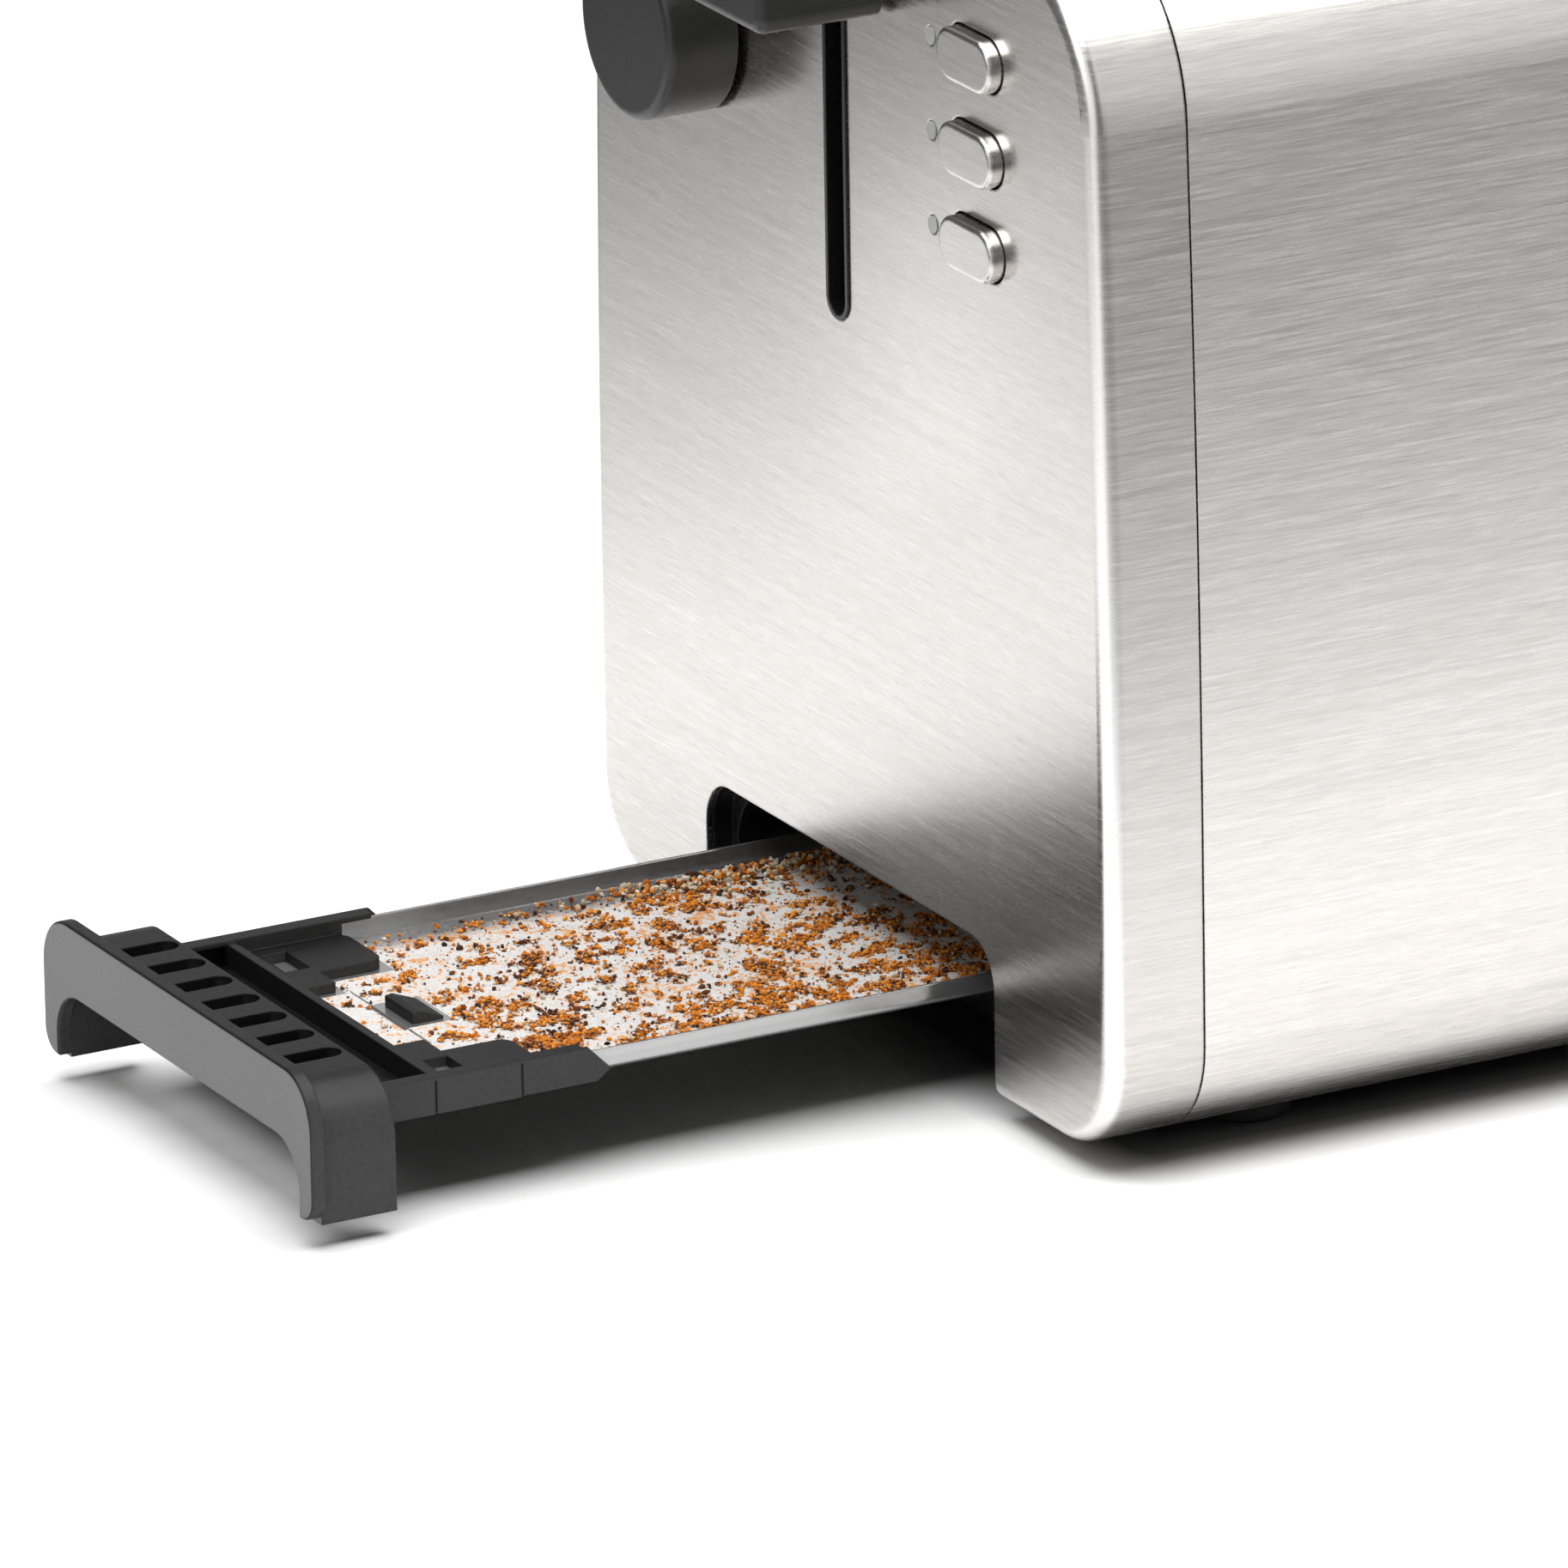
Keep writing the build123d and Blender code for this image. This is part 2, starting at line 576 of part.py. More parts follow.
with BuildPart() as tray_frame:
    # channel floor and lip behind the handle
    block(X_HREAR + 0.05, -257.6, -39.9, 39.9, 16.2, 17.8)
    block(-257.6, -256.0, -39.9, 39.9, 16.2, 22.0)
    for s in (-1, 1):
        # outer skin of the side arm, pointed at its rear end
        with BuildSketch(Plane.XZ.offset(-s * 39.0)):
            with BuildLine():
                Polyline((X_HREAR + 0.05, 16.2), (X_HREAR + 0.05, 22.4), (-229.7, 22.4),
                         (-225.7, 18.3), (-228.2, 16.4), (-242.0, 16.4), (-242.0, 16.2),
                         (X_HREAR + 0.05, 16.2))
            make_face()
        extrude(amount=-s * 0.9)
        # cap over the rim of the pan, and the inner skin
        block(X_HREAR + 0.05, -230.5, min(s * 36.9, s * 39.0), max(s * 36.9, s * 39.0), 21.5, 22.4)
        block(-255.0, -236.0, min(s * 36.9, s * 38.1), max(s * 36.9, s * 38.1), 18.05, 21.5)
        # flat tongue lying on the floor of the pan, with its square window
        with BuildSketch(Plane.XY.offset(18.05)):
            with BuildLine():
                Polyline((-256.5, s * 16.0), (-247.8, s * 16.0), (-247.8, s * 22.2),
                         (-235.6, s * 22.2), (-235.6, s * 37.0), (-256.5, s * 37.0),
                         (-256.5, s * 16.0))
            make_face()
            fillet(vertices().sort_by(Axis.X)[-2:], 2.4)
            with Locations((-250.4, s * 29.3)):
                Rectangle(4.6, 9.2, mode=Mode.SUBTRACT)
        extrude(amount=1.75)
        # joints in the skin
        for x in (-257.8, -242.0):
            block(x - 0.2, x + 0.2, min(s * 39.6, s * 40.2), max(s * 39.6, s * 40.2), 16, 22.0, Mode.SUBTRACT)
out(tray_frame, "tray_frame")

with BuildPart() as tray_catch:
    with BuildSketch(Plane.XZ.offset(5.1)):
        with BuildLine():
            Polyline((-244.3, 18.4), (-244.3, 20.3), (-243.0, 20.5), (-238.6, 18.8),
                     (-238.6, 18.4), (-244.3, 18.4))
        make_face()
    extrude(amount=-10.0)
out(tray_catch, "tray_catch")

# ================================================================ lever carriage
ARM_HW, ARM_H = 2.4, 7.0
with BuildPart() as lever_knob:
    with BuildSketch(Plane.YZ.offset(-184)):
        with Locations((0, LEVER_Z)):
            RectangleRounded(38, 11, 3)
    extrude(amount=22.6)
    fillet(lever_knob.faces().sort_by(Axis.X)[0].edges(), 2.0)
    with BuildSketch(Plane.YZ.offset(-173)):
        with Locations((0, LEVER_Z)):
            SlotOverall(ARM_H + 0.1, 2 * ARM_HW + 0.1, rotation=90)
    extrude(amount=15, mode=Mode.SUBTRACT)
out(lever_knob, "lever_knob")

with BuildPart() as carriage_bracket:
    block(-100, -98.4, -30, 30, 97, 192)
    with BuildSketch(Plane.YZ.offset(-172.9)):
        with Locations((0, LEVER_Z)):
            SlotOverall(ARM_H, 2 * ARM_HW, rotation=90)
    extrude(amount=72.95)
    for s in (-1, 1):
        for z in (102, 182):
            block(-115, -100, s * 22 - 6.5, s * 22 + 6.5, z, z + 2)
    block(-114, -100, 6.5, 15, 170, 171.5)
    with BuildSketch(Plane.XY.offset(90)):
        with Locations((-108, -22), (-108, 22)):
            Circle(4.5)
    extrude(amount=105, mode=Mode.SUBTRACT)
    with BuildSketch(Plane.YZ.offset(-101)):
        for z in (118, 140, 162):
            with Locations((0, z)):
                SlotOverall(24, 9)
    extrude(amount=3, mode=Mode.SUBTRACT)
out(carriage_bracket, "carriage_bracket")

with BuildPart() as carriage_bushes:
    for z in (98, 178):
        with BuildSketch(Plane.XY.offset(z)):
            with Locations((-108, -22), (-108, 22)):
                Circle(4.45)
            with Locations((-108, -22), (-108, 22)):
                Circle(2.56, mode=Mode.SUBTRACT)
        extrude(amount=10)
out(carriage_bushes, "carriage_bushes")

for side, s in (("left", 1), ("right", -1)):
    with BuildPart() as lifter:
        block(-98.35, 99, s * BREAD_Y - 0.8, s * BREAD_Y + 0.8, 100, 105)
        block(-98.35, -97.4, s * BREAD_Y - 5, s * BREAD_Y + 5, 99, 112)
        for k in range(10):
            x = -58 + 16 * k
            block(x - 1.5, x + 1.5, s * BREAD_Y - 6, s * BREAD_Y + 6, 105, 106.6)
    out(lifter, side + "_bread_lifter")

with BuildPart() as armature_plate:
    block(-120, -100.05, -9, 9, 99.8, 102.0)
out(armature_plate, "armature_plate")

# ================================================================ bread guards
for name, y in (("left_outer", 37.5), ("left_inner", 10.5),
                ("right_inner", -10.5), ("right_outer", -37.5)):
    with BuildPart() as guard:
        for z in GUARD_Z:
            with BuildSketch(Plane.YZ.offset(-81)):
                with Locations((y, z)):
                    Circle(1.2)
            extrude(amount=189)
        with BuildSketch(Plane.XY.offset(56)):
            with Locations(*[(-60 + 24.5 * k, y) for k in range(7)]):
                Circle(0.9)
        extrude(amount=132)
    out(guard, "guard_" + name)

# ================================================================ buttons and dial
for name, z in zip(("stop_button", "defrost_button", "reheat_button"), BUTTON_Z):
    with BuildPart() as button:
        with BuildSketch(Plane.YZ.offset(-162.6)):
            with Locations((BUTTON_Y, z)):
                SlotOverall(18, 9)
        extrude(amount=9.0)
        fillet(button.faces().sort_by(Axis.X)[0].edges(), 0.8)
        with BuildSketch(Plane.YZ.offset(-156.6)):
            with Locations((BUTTON_Y, z)):
                SlotOverall(21, 11.5)
        extrude(amount=3.0)
        with BuildSketch(Plane.YZ.offset(-153.6)):
            with Locations((BUTTON_Y, z)):
                Rectangle(6.4, 6.4)
        extrude(amount=10.3)
    out(button, name)

with BuildPart() as browning_dial:
    with BuildSketch(Plane.YZ.offset(-174)):
        with Locations((DIAL_Y, DIAL_Z)):
            Circle(16)
    extrude(amount=13)
    fillet(browning_dial.faces().sort_by(Axis.X)[0].edges(), 1.6)
    with BuildSketch(Plane.YZ.offset(-174.5)):
        with Locations((DIAL_Y, DIAL_Z + 10)):
            SlotOverall(7, 1.4, rotation=90)
    extrude(amount=1.0, mode=Mode.SUBTRACT)
    with BuildSketch(Plane.YZ.offset(-161)):
        with Locations((DIAL_Y, DIAL_Z)):
            Circle(3.0)
    extrude(amount=20)
out(browning_dial, "browning_dial")
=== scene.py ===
import math
import random

import bmesh
import bpy
from mathutils import Matrix, Vector


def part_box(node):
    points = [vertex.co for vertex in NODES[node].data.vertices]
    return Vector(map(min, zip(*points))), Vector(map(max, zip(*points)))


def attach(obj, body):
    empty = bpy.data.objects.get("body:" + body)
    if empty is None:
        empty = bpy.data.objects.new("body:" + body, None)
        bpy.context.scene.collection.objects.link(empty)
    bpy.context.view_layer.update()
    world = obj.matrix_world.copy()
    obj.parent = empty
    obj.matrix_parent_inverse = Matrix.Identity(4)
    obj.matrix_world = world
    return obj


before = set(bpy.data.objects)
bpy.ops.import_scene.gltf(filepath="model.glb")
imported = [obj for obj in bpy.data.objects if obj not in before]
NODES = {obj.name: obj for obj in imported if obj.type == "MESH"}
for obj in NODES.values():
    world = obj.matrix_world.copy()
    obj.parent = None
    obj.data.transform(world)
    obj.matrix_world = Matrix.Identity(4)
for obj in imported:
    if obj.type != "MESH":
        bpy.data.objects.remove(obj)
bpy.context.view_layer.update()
scene = bpy.context.scene
MM = 0.001
FADE = (0.10, 0.50)      # the floor fades into the backdrop this far from the object
AMBIENT = 0.05             # backdrop light on matt surfaces
GLOSS = 0.12               # and as seen in gloss
BANKS = [(62, 19, 12, 40, 0.45), (-62, 25, 15, 45, 0.75), (-150, 8, 8, 32, 0.8)]

# ------------------------------------------------------------------ camera
CAM_POS = Vector((-1.4430, -2.3974, 0.9890))
right = Vector((0.88079, -0.47324, -0.01571)).normalized()
back = Vector((-0.44251, -0.83450, 0.32833)).normalized()
up = back.cross(right).normalized()
right = up.cross(back).normalized()
cam_data = bpy.data.cameras.new("camera")
cam_data.sensor_width = 36.0
cam_data.lens = 397.2
cam_data.clip_start, cam_data.clip_end = 0.05, 30.0
cam = bpy.data.objects.new("camera", cam_data)
scene.collection.objects.link(cam)
m = Matrix.Identity(4)
for i in range(3):
    m[i][0], m[i][1], m[i][2], m[i][3] = right[i], up[i], back[i], CAM_POS[i]
cam.matrix_world = m
scene.camera = cam
scene.view_settings.view_transform = "Standard"
scene.view_settings.look = "None"
scene.view_settings.exposure = 0.0
scene.view_settings.gamma = 1.0


# ------------------------------------------------------------------ node helpers
class Mat:
    """Small builder for a node material."""

    def __init__(self, name):
        self.m = bpy.data.materials.new(name)
        self.m.use_nodes = True
        self.t = self.m.node_tree
        self.t.nodes.clear()
        self.out = self.n("ShaderNodeOutputMaterial")
        self.b = self.n("ShaderNodeBsdfPrincipled")
        self.l(self.b.outputs[0], self.out.inputs["Surface"])

    def n(self, kind, **props):
        node = self.t.nodes.new(kind)
        for k, v in props.items():
            setattr(node, k, v)
        return node

    def l(self, a, b):
        self.t.links.new(a, b)

    def set(self, **vals):
        names = {"color": "Base Color", "metal": "Metallic", "rough": "Roughness", "ior": "IOR",
                 "spec": "Specular IOR Level", "aniso": "Anisotropic", "aniso_rot": "Anisotropic Rotation",
                 "coat": "Coat Weight", "coat_rough": "Coat Roughness", "trans": "Transmission Weight",
                 "sss": "Subsurface Weight", "alpha": "Alpha"}
        for k, v in vals.items():
            self.b.inputs[names[k]].default_value = v
        return self

    def coords(self, scale=(1, 1, 1), offset=(0, 0, 0)):
        tc = self.n("ShaderNodeTexCoord")
        mp = self.n("ShaderNodeMapping")
        mp.inputs["Scale"].default_value = scale
        mp.inputs["Location"].default_value = offset
        self.l(tc.outputs["Object"], mp.inputs["Vector"])
        return mp.outputs[0]

    def noise(self, vec, scale=1.0, detail=2.0, rough=0.5, distortion=0.0):
        nz = self.n("ShaderNodeTexNoise")
        nz.inputs["Scale"].default_value = scale
        nz.inputs["Detail"].default_value = detail
        nz.inputs["Roughness"].default_value = rough
        nz.inputs["Distortion"].default_value = distortion
        self.l(vec, nz.inputs["Vector"])
        return nz.outputs["Fac"]

    def math(self, op, a, b=None, c=None, clamp=False):
        nd = self.n("ShaderNodeMath", operation=op, use_clamp=clamp)
        for i, v in enumerate((a, b, c)):
            if v is None:
                continue
            if isinstance(v, (int, float)):
                nd.inputs[i].default_value = v
            else:
                self.l(v, nd.inputs[i])
        return nd.outputs[0]

    def mapr(self, v, lo, hi, a, b, clamp=True):
        nd = self.n("ShaderNodeMapRange", clamp=clamp)
        for i, x in zip(range(1, 5), (lo, hi, a, b)):
            nd.inputs[i].default_value = x
        self.l(v, nd.inputs[0])
        return nd.outputs[0]

    def mix(self, fac, c1, c2, blend="MIX"):
        nd = self.n("ShaderNodeMix", data_type="RGBA", blend_type=blend)
        for i, v in ((0, fac), (6, c1), (7, c2)):
            if isinstance(v, (int, float)):
                nd.inputs[i].default_value = v
            elif isinstance(v, (tuple, list)):
                nd.inputs[i].default_value = (*v[:3], 1.0)
            else:
                self.l(v, nd.inputs[i])
        return nd.outputs[2]

    def ramp(self, fac, stops):
        nd = self.n("ShaderNodeValToRGB")
        cr = nd.color_ramp
        while len(cr.elements) < len(stops):
            cr.elements.new(0.5)
        for e, (p, c) in zip(cr.elements, stops):
            e.position = p
            e.color = (*c[:3], 1.0)
        self.l(fac, nd.inputs[0])
        return nd.outputs[0]

    def bump(self, h, strength=0.2, dist=0.0002, edge=0.0):
        nd = self.n("ShaderNodeBump")
        if edge:
            bv = self.n("ShaderNodeBevel", samples=4)
            bv.inputs["Radius"].default_value = edge
            self.l(bv.outputs[0], nd.inputs["Normal"])
        nd.inputs["Strength"].default_value = strength
        nd.inputs["Distance"].default_value = dist
        self.l(h, nd.inputs["Height"])
        self.l(nd.outputs[0], self.b.inputs["Normal"])
        return nd


def grey(v, warm=0.0):
    return (v * (1 + warm), v, v * (1 - warm))


# ------------------------------------------------------------------ materials
def brushed(name, base, along, rough=0.26, contrast=1.0, aniso=0.5, painted_corner_highlight=None):
    """Brushed stainless steel. along = 'x' for grain along X, 'h' for level grain on upright faces."""
    k = Mat(name)
    k.set(metal=1.0, aniso=aniso)
    if along == "x":
        s1, s2, s3 = (60, 2100, 2100), (14, 620, 620), (190, 3900, 3900)
    else:
        s1, s2, s3 = (60, 60, 2100), (14, 14, 620), (190, 190, 3900)
    a = k.noise(k.coords(s1), 1.0, 3.0, 0.6)
    b = k.noise(k.coords(s2, (3.1, 1.7, 0.4)), 1.0, 2.0, 0.55)
    c = k.noise(k.coords(s3, (0.3, 5.1, 2.2)), 1.0, 1.0, 0.5)
    f = k.math("ADD", k.math("MULTIPLY", a, 0.45), k.math("ADD", k.math("MULTIPLY", b, 0.22), k.math("MULTIPLY", c, 0.33)))
    lo, hi = 1 - 0.15 * contrast, 1 + 0.15 * contrast
    col = k.mix(1.0, base, k.mapr(f, 0.33, 0.67, lo, hi), "MULTIPLY")
    geo = k.n("ShaderNodeNewGeometry")
    sp = k.n("ShaderNodeSeparateXYZ")
    k.l(geo.outputs["Normal"], sp.inputs[0])
    if painted_corner_highlight:
        # painted highlight: the rolled edge round each end face is painted a lighter steel than the flats, standing
        # in for the bright reflection along it
        nx = k.math("ABSOLUTE", sp.outputs[0])
        highlight_band_mask = k.math("MULTIPLY", k.mapr(nx, 0.10, 0.40, 0.0, 1.0), k.mapr(nx, 0.90, 0.995, 1.0, 0.0))
        col = k.mix(highlight_band_mask, col, painted_corner_highlight)
    k.l(col, k.b.inputs["Base Color"])
    k.l(k.mapr(a, 0.3, 0.7, rough - 0.04, rough + 0.04), k.b.inputs["Roughness"])
    tg = k.n("ShaderNodeTangent", direction_type="RADIAL", axis="Z")
    if along == "x":
        tg.axis = "X"
        k.set(aniso_rot=0.0)
        k.l(tg.outputs[0], k.b.inputs["Tangent"])
    else:
        k.set(aniso_rot=0.25)
        # level faces have no useful turn about Z, so there the grain follows the wrap's
        tx = k.n("ShaderNodeTangent", direction_type="RADIAL", axis="X")
        cr = k.n("ShaderNodeVectorMath", operation="CROSS_PRODUCT")
        k.l(geo.outputs["Normal"], cr.inputs[0])
        k.l(tx.outputs[0], cr.inputs[1])
        mv = k.n("ShaderNodeMix", data_type="VECTOR")
        k.l(k.mapr(k.math("ABSOLUTE", sp.outputs[2]), 0.5, 0.8, 0.0, 1.0), mv.inputs[0])
        k.l(tg.outputs[0], mv.inputs[4])
        k.l(cr.outputs[0], mv.inputs[5])
        k.l(mv.outputs[1], k.b.inputs["Tangent"])
    k.bump(f, 0.05 * contrast, 0.00004, 0.0005)
    return k.m


def plastic(name, base, rough, grain=900.0, bump=0.25, spec=0.5, var=0.12):
    """Moulded plastic with a fine spark-eroded texture."""
    k = Mat(name)
    k.set(spec=spec)
    g = k.noise(k.coords((grain, grain, grain)), 1.0, 2.0, 0.6)
    w = k.noise(k.coords((18, 18, 18), (2.0, 7.0, 1.0)), 1.0, 3.0, 0.6)
    v = k.mapr(k.math("ADD", k.math("MULTIPLY", g, 0.6), k.math("MULTIPLY", w, 0.4)), 0.3, 0.7, 1 - var, 1 + var)
    k.l(k.mix(1.0, base, v, "MULTIPLY"), k.b.inputs["Base Color"])
    k.l(k.mapr(g, 0.3, 0.7, rough - 0.05, rough + 0.05), k.b.inputs["Roughness"])
    k.bump(g, bump, 0.00005, 0.0004)
    return k.m


def metal(name, base, rough, grain=(300, 300, 300), bump=0.05, var=0.06, aniso=0.0):
    k = Mat(name)
    k.set(metal=1.0, aniso=aniso)
    g = k.noise(k.coords(grain), 1.0, 3.0, 0.6)
    w = k.noise(k.coords((25, 25, 25), (4.0, 1.0, 8.0)), 1.0, 3.0, 0.6)
    k.l(k.mix(1.0, base, k.mapr(w, 0.3, 0.7, 1 - var, 1 + var), "MULTIPLY"), k.b.inputs["Base Color"])
    k.l(k.mapr(g, 0.3, 0.7, max(0.02, rough - 0.04), rough + 0.05), k.b.inputs["Roughness"])
    k.bump(g, bump, 0.00005)
    return k.m


def tray_plastic(name, painted_front_grey, plate_x=None):
    """Moulded plastic of the tray, with painted light and shade by facing: the front face is painted lighter and the
    tops darker than the sides, for how the light falls on them.
    """
    k = Mat(name)
    k.set(spec=0.20)
    g = k.noise(k.coords((1100, 1100, 1100)), 1.0, 2.0, 0.6)
    fine = k.noise(k.coords((2600, 2600, 2600), (3, 1, 2)), 1.0, 1.0, 0.5)
    w = k.noise(k.coords((18, 18, 18), (2.0, 7.0, 1.0)), 1.0, 3.0, 0.6)
    geo = k.n("ShaderNodeNewGeometry")
    sp = k.n("ShaderNodeSeparateXYZ")
    k.l(geo.outputs["Normal"], sp.inputs[0])
    # painted light and shade: the front face is painted lighter and the tops darker than the sides
    front = k.mapr(k.math("MULTIPLY", sp.outputs[0], -1.0), 0.90, 0.995, 0.0, 1.0)
    side_light_mask = k.mapr(k.math("ABSOLUTE", sp.outputs[1]), 0.3, 0.95, 0.0, 1.0)
    col = k.mix(side_light_mask, grey(0.006), grey(0.048))
    if plate_x is not None:
        # painted shade: the slots and the arch behind the plate are painted near black, and only the plate's own face
        # takes the painted light front
        tc = k.n("ShaderNodeTexCoord")
        pos = k.n("ShaderNodeSeparateXYZ")
        k.l(tc.outputs["Object"], pos.inputs[0])
        recess_shade_behind = k.mapr(pos.outputs[0], plate_x, plate_x + 0.0006, 0.0, 1.0)
        recess_shade_inner = k.mapr(k.math("ABSOLUTE", pos.outputs[1]), 0.0400, 0.0415, 1.0, 0.0)
        col = k.mix(k.math("MULTIPLY", recess_shade_behind, recess_shade_inner), col, grey(0.004))
        front = k.math("MULTIPLY", front, k.math("SUBTRACT", 1.0, recess_shade_behind))
    col = k.mix(front, col, grey(painted_front_grey))
    v = k.math("ADD", k.math("MULTIPLY", g, 0.4), k.math("ADD", k.math("MULTIPLY", w, 0.25), k.math("MULTIPLY", fine, 0.35)))
    k.l(k.mix(1.0, col, k.mapr(v, 0.35, 0.65, 0.80, 1.20), "MULTIPLY"), k.b.inputs["Base Color"])
    k.l(k.mapr(g, 0.3, 0.7, 0.38, 0.50), k.b.inputs["Roughness"])
    k.bump(g, 0.30, 0.00005, 0.00045)
    return k.m


def pan_steel():
    """Polished pan: bright inside and on its outer walls; below, it is painted dark and dull, painted shade for the
    shadowed underside of the tray.
    """
    k = Mat("pan_steel")
    k.set(metal=0.80)
    g = k.noise(k.coords((900, 900, 900)), 1.0, 3.0, 0.6)
    roll = k.noise(k.coords((14, 900, 900), (4.0, 1.0, 8.0)), 1.0, 2.0, 0.6)
    geo = k.n("ShaderNodeNewGeometry")
    sp = k.n("ShaderNodeSeparateXYZ")
    k.l(geo.outputs["Normal"], sp.inputs[0])
    # painted shade: faces looking down are painted near black and made rougher
    underside_shade = k.mapr(k.math("MULTIPLY", sp.outputs[2], -1.0), 0.3, 0.8, 0.0, 1.0)
    col = k.mix(1.0, grey(0.46), k.mapr(roll, 0.3, 0.7, 0.94, 1.06), "MULTIPLY")
    k.l(k.mix(underside_shade, col, grey(0.035)), k.b.inputs["Base Color"])
    k.l(k.math("ADD", k.mapr(g, 0.3, 0.7, 0.12, 0.19), k.math("MULTIPLY", underside_shade, 0.4)), k.b.inputs["Roughness"])
    k.bump(g, 0.02, 0.00005, 0.0005)
    return k.m


M = {}
# the cap's corner colour is a painted highlight on the rolled edges round the end faces
M["cap"] = brushed("brushed_steel_cap", grey(0.595, 0.036), "h", painted_corner_highlight=grey(0.86, 0.02))
M["wrap"] = brushed("brushed_steel_wrap", grey(0.69, 0.036), "x")
# both tray plastics carry painted light and shade by facing; the figure passed in is the painted front grey
M["tray"] = tray_plastic("tray_plastic", 0.010)
M["handle"] = tray_plastic("handle_plastic", 0.158, min(v.co.x for v in NODES["tray_handle"].data.vertices) + 0.0032)
M["bezel"] = plastic("bezel_plastic", grey(0.010), 0.30, 1500, 0.12, 0.5)
M["black"] = plastic("black_plastic", grey(0.014), 0.38, 1200, 0.2, 0.5)
M["pan"] = pan_steel()
M["button"] = brushed("button_steel", grey(0.60, 0.03), "h", 0.25)
M["rubber"] = plastic("foot_rubber", grey(0.018), 0.8, 700, 0.3, 0.3)
M["galv"] = metal("plated_steel", grey(0.5), 0.33, (400, 400, 400), 0.1, 0.12)
M["wire"] = metal("bright_wire", grey(0.55), 0.22, (600, 600, 600), 0.05, 0.08)
M["copper"] = metal("coil_copper", (0.60, 0.22, 0.08), 0.3, (200, 200, 3500), 0.5, 0.1)


def mica():
    k = Mat("mica")
    k.set(rough=0.45)
    v = k.n("ShaderNodeTexVoronoi", feature="F1")
    v.inputs["Scale"].default_value = 160
    k.l(k.coords(), v.inputs["Vector"])
    w = k.noise(k.coords((60, 60, 60)), 1.0, 4.0, 0.6)
    k.l(k.ramp(w, [(0.3, (0.42, 0.36, 0.27)), (0.7, (0.62, 0.56, 0.46))]), k.b.inputs["Base Color"])
    k.bump(v.outputs[0], 0.2, 0.0002)
    return k.m


def pcb():
    k = Mat("circuit_board")
    k.set(rough=0.3)
    v = k.n("ShaderNodeTexBrick")
    v.inputs["Scale"].default_value = 90
    v.inputs["Mortar Size"].default_value = 0.06
    k.l(k.coords(), v.inputs["Vector"])
    w = k.noise(k.coords((90, 90, 90)), 1.0, 3.0, 0.6)
    k.l(k.mix(k.math("MULTIPLY", v.outputs["Fac"], 0.5), k.ramp(w, [(0.3, (0.01, 0.07, 0.03)), (0.7, (0.02, 0.12, 0.05))]),
              (0.04, 0.22, 0.08)), k.b.inputs["Base Color"])
    return k.m


def lens():
    k = Mat("lens")
    k.set(rough=0.15, trans=0.6, ior=1.49)
    w = k.noise(k.coords((800, 800, 800)), 1.0, 2.0, 0.5)
    k.l(k.mix(1.0, (0.85, 0.86, 0.84), k.mapr(w, 0.3, 0.7, 0.94, 1.04), "MULTIPLY"), k.b.inputs["Base Color"])
    return k.m


M["mica"], M["pcb"], M["lens"] = mica(), pcb(), lens()

USE = {
    "cap": ["front_end_cap", "rear_end_cap"],
    "wrap": ["body_wrap"],
    "tray": ["tray_frame", "tray_catch"],
    "handle": ["tray_handle"],
    "bezel": ["tray_bezel", "lever_slot_liner"],
    "black": ["base_plate", "bread_slot_frame", "front_cap_frame", "rear_cap_frame", "button_carrier", "cord_gland",
              "terminal_block", "left_tray_rail", "right_tray_rail", "main_switch", "dial_sensor", "board_components",
              "tactile_switches", "lever_knob", "browning_dial", "carriage_bushes"],
    "pan": ["tray_pan"],
    "button": ["stop_button", "defrost_button", "reheat_button"],
    "rubber": ["rubber_feet"],
    "galv": ["front_frame", "rear_frame", "left_reflector", "right_reflector", "top_bracket", "lower_bracket",
             "carriage_bracket", "left_bread_lifter", "right_bread_lifter", "armature_plate", "magnet_core",
             "base_screws"],
    "wire": ["guide_rods", "return_spring", "guard_left_outer", "guard_left_inner", "guard_right_inner",
             "guard_right_outer", "heater_ribbons"],
    "mica": ["left_heater_board", "centre_heater_board", "right_heater_board"],
    "copper": ["magnet_coil"],
    "pcb": ["control_board"],
    "lens": ["indicator_lenses"],
}
for key, names in USE.items():
    for n in names:
        o = NODES[n]
        o.data.materials.clear()
        o.data.materials.append(M[key])
left_over = set(NODES) - {n for v in USE.values() for n in v}
if left_over:
    raise SystemExit("no material for " + ", ".join(sorted(left_over)))


# ------------------------------------------------------------------ crumbs
def crumb_material(name, stops, rough=0.75):
    k = Mat(name)
    k.set(rough=rough, spec=0.35)
    geo = k.n("ShaderNodeNewGeometry")
    w = k.noise(k.coords((1400, 1400, 1400)), 1.0, 3.0, 0.65)
    f = k.math("ADD", k.math("MULTIPLY", geo.outputs["Random Per Island"], 0.65), k.math("MULTIPLY", w, 0.35))
    k.l(k.ramp(f, stops), k.b.inputs["Base Color"])
    k.bump(w, 0.5, 0.0001)
    return k.m


# Pan floor and the parts that stand on it, in millimetres.
PAN_LO, PAN_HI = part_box("tray_pan")
PX0, PX1, PHW = PAN_LO.x / MM + 1.3, PAN_HI.x / MM - 1.3, PAN_HI.y / MM - 2.2
PZ = PAN_LO.z / MM + 0.6


def base_z(x, y):
    """Height of the pan floor, with the panel pressed up in it."""
    return PZ + (0.36 if -246.2 < x < -184.2 and abs(y) < 18.7 else 0.0)


def covered(x, y, r):
    """True where a tongue of the frame or the catch stands on the pan floor."""
    ay = abs(y) + r
    if x < -234.0 and ay > 20.8:
        return True
    if x < -246.5 and ay > 14.8:
        return True
    return -246.5 < x < -237.0 and ay < 6.6


def density(x):
    return 0.42 + 0.58 * min(1.0, max(0.0, (x + 252) / 50.0))


